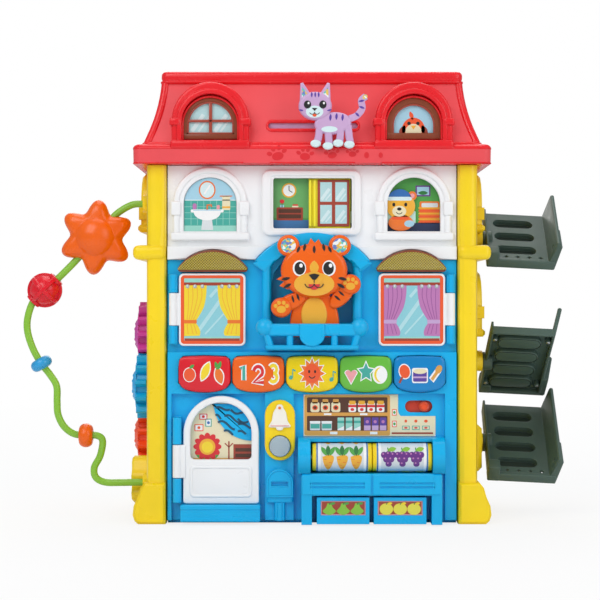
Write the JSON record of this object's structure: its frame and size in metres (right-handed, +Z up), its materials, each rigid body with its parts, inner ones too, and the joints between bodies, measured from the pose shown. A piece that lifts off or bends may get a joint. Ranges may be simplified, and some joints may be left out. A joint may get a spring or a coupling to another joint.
{
  "type": "activity playhouse toy",
  "caption": "Floor-standing baby activity house with hinged windows and door, press buttons, rollers, meshed gears, a bead wire and zigzag ramps.",
  "frame": {"origin": "centre of the base's underside, on the floor", "axes": "+X to the right seen from the front, +Y from the front to the back, +Z up"},
  "size_m": [0.5529, 0.2328, 0.453],
  "materials": {
    "blue_shell": "semi-gloss moulded ABS",
    "white_shell": "semi-gloss moulded ABS",
    "yellow_shell": "semi-gloss moulded ABS",
    "red_shell": "glossy moulded ABS",
    "orange_shell": "semi-gloss moulded ABS",
    "lilac_plastic": "semi-gloss moulded ABS with printing",
    "brown_plastic": "semi-gloss moulded ABS",
    "grey_plastic": "semi-gloss moulded ABS",
    "grey_green_plastic": "satin moulded ABS",
    "purple_gear": "glossy moulded ABS",
    "blue_gear": "glossy moulded ABS",
    "red_orange_gear": "glossy moulded ABS",
    "red_button": "glossy moulded ABS with printing",
    "orange_button": "glossy moulded ABS with printing",
    "yellow_button": "glossy moulded ABS with printing",
    "green_button": "glossy moulded ABS with printing",
    "blue_button": "glossy moulded ABS with printing",
    "green_wire_coat": "glossy coated steel wire",
    "amber_lens": "translucent textured lens",
    "milky_lens": "translucent milky lens",
    "lamp_epoxy": "clear lamp epoxy on a board",
    "printed_card": "gloss-coated printed sheet",
    "printed_roller": "plastic barrel with a printed wrap",
    "silicone_pad": "matt silicone rubber",
    "plated_steel": "zinc-plated steel",
    "cell_wrap": "plain cell wrap",
    "speaker_black": "coated paper cone and pressed frame",
    "circuit_green": "solder-masked board"
  },
  "bodies": {
    "house": {"base_plate": "blue_shell", "left_side_panel": "yellow_shell", "right_side_panel": "yellow_shell", "back_panel": "blue_shell", "front_lower_panel": "blue_shell", "front_upper_panel": "white_shell", "roof_shell": "red_shell", "roof_cap": "red_shell", "dormer_window_left": "brown_plastic", "dormer_window_right": "brown_plastic", "upper_picture_board": "printed_card", "window_picture_left": "printed_card", "window_picture_right": "printed_card", "door_picture": "printed_card", "shelf_card": "printed_card", "light_lens_left": "amber_lens", "light_lens_right": "amber_lens", "lamp_board": "lamp_epoxy", "window_pin_left": "plated_steel", "window_pin_right": "plated_steel", "door_pin": "plated_steel", "button_pad": "silicone_pad", "doorbell_plate": "yellow_shell", "doorbell_lens": "milky_lens", "roller_axle": "plated_steel", "bead_wire": "green_wire_coat", "ramp_top": "grey_green_plastic", "ramp_middle": "grey_green_plastic", "ramp_lower": "grey_green_plastic", "battery_box": "blue_shell", "battery_cells": "cell_wrap", "battery_door": "blue_shell", "speaker": "speaker_black", "circuit_board": "circuit_green"},
    "window_leaf_left": {"window_left": "white_shell"},
    "window_leaf_right": {"window_right": "white_shell"},
    "door_leaf": {"door": "white_shell"},
    "window_slider": {"sliding_window": "yellow_shell", "peek_card": "printed_card"},
    "cat": {"cat_slider": "lilac_plastic"},
    "tiger": {"tiger_cub": "orange_shell"},
    "key_red": {"button_red": "red_button"},
    "key_orange": {"button_orange": "orange_button"},
    "key_yellow": {"button_yellow": "yellow_button"},
    "key_green": {"button_green": "green_button"},
    "key_blue": {"button_blue": "blue_button"},
    "bell_push": {"doorbell_button": "grey_plastic"},
    "switch": {"switch_knob": "orange_button"},
    "barrel_left": {"roller_left": "printed_roller"},
    "barrel_right": {"roller_right": "printed_roller"},
    "wheel_top": {"gear_top": "purple_gear"},
    "wheel_middle": {"gear_middle": "blue_gear"},
    "wheel_bottom": {"gear_bottom": "red_orange_gear"},
    "star": {"bead_star": "orange_shell"},
    "lattice_ball": {"bead_ball": "red_shell"},
    "disc_bead": {"bead_disc": "blue_gear"},
    "oval_bead": {"bead_oval": "orange_shell"}
  },
  "joints": [
    {"name": "window_left_hinge", "type": "hinge", "parent": "house", "child": "window_leaf_left", "pos_m": [-0.1384, -0.0997, 0.213], "axis": [0, 0, -1], "range_deg": [0, 110]},
    {"name": "window_right_hinge", "type": "hinge", "parent": "house", "child": "window_leaf_right", "pos_m": [0.1384, -0.0997, 0.213], "axis": [0, 0, 1], "range_deg": [0, 110]},
    {"name": "door_hinge", "type": "hinge", "parent": "house", "child": "door_leaf", "pos_m": [-0.1341, -0.106, 0.063], "axis": [0, 0, -1], "range_deg": [0, 105]},
    {"name": "window_slide", "type": "slide", "parent": "house", "child": "window_slider", "axis": [1, 0, 0], "range_m": [-0.035, 0]},
    {"name": "cat_slide", "type": "slide", "parent": "house", "child": "cat", "axis": [1, 0, 0], "range_m": [-0.055, 0.019]},
    {"name": "tiger_sway", "type": "hinge", "parent": "house", "child": "tiger", "pos_m": [0.0005, -0.096, 0.1945], "axis": [0, 1, 0], "range_deg": [-6, 6]},
    {"name": "button_red_press", "type": "slide", "parent": "house", "child": "key_red", "axis": [0, 1, 0], "range_m": [0, 0.003], "stiffness_N_per_m": 300},
    {"name": "button_orange_press", "type": "slide", "parent": "house", "child": "key_orange", "axis": [0, 1, 0], "range_m": [0, 0.003], "stiffness_N_per_m": 300},
    {"name": "button_yellow_press", "type": "slide", "parent": "house", "child": "key_yellow", "axis": [0, 1, 0], "range_m": [0, 0.003], "stiffness_N_per_m": 300},
    {"name": "button_green_press", "type": "slide", "parent": "house", "child": "key_green", "axis": [0, 1, 0], "range_m": [0, 0.003], "stiffness_N_per_m": 300},
    {"name": "button_blue_press", "type": "slide", "parent": "house", "child": "key_blue", "axis": [0, 1, 0], "range_m": [0, 0.003], "stiffness_N_per_m": 300},
    {"name": "doorbell_press", "type": "slide", "parent": "house", "child": "bell_push", "axis": [0, 1, 0], "range_m": [0, 0.0025], "stiffness_N_per_m": 250},
    {"name": "switch_slide", "type": "slide", "parent": "house", "child": "switch", "axis": [1, 0, 0], "range_m": [-0.0125, 0.002]},
    {"name": "roller_left_spin", "type": "hinge", "parent": "house", "child": "barrel_left", "pos_m": [0.0296, -0.1045, 0.0668], "axis": [1, 0, 0], "continuous": true},
    {"name": "roller_right_spin", "type": "hinge", "parent": "house", "child": "barrel_right", "pos_m": [0.0892, -0.1045, 0.0668], "axis": [1, 0, 0], "continuous": true},
    {"name": "gear_top_spin", "type": "hinge", "parent": "house", "child": "wheel_top", "pos_m": [-0.17, 0.012, 0.187], "axis": [1, 0, 0], "continuous": true},
    {"name": "gear_middle_spin", "type": "hinge", "parent": "house", "child": "wheel_middle", "pos_m": [-0.17, -0.015, 0.1334], "axis": [1, 0, 0], "continuous": true},
    {"name": "gear_bottom_spin", "type": "hinge", "parent": "house", "child": "wheel_bottom", "pos_m": [-0.17, 0.012, 0.0798], "axis": [1, 0, 0], "continuous": true},
    {"name": "star_spin", "type": "hinge", "parent": "house", "child": "star", "pos_m": [-0.22, -0.058, 0.287], "axis": [-0.6607, 0, -0.7507], "continuous": true},
    {"name": "ball_spin", "type": "hinge", "parent": "house", "child": "lattice_ball", "pos_m": [-0.2725, -0.058, 0.233], "axis": [-0.7226, 0, -0.6912], "continuous": true},
    {"name": "disc_bead_slide", "type": "slide", "parent": "house", "child": "disc_bead", "axis": [-0.493, 0, 0.87], "range_m": [-0.004, 0.004]},
    {"name": "oval_bead_slide", "type": "slide", "parent": "house", "child": "oval_bead", "axis": [0.9998, 0, -0.0174], "range_m": [-0.003, 0.003]}
  ],
  "couplings": [
    {"joint": "gear_middle_spin", "follows": "gear_top_spin", "ratio": -1},
    {"joint": "gear_bottom_spin", "follows": "gear_top_spin", "ratio": 1}
  ]
}
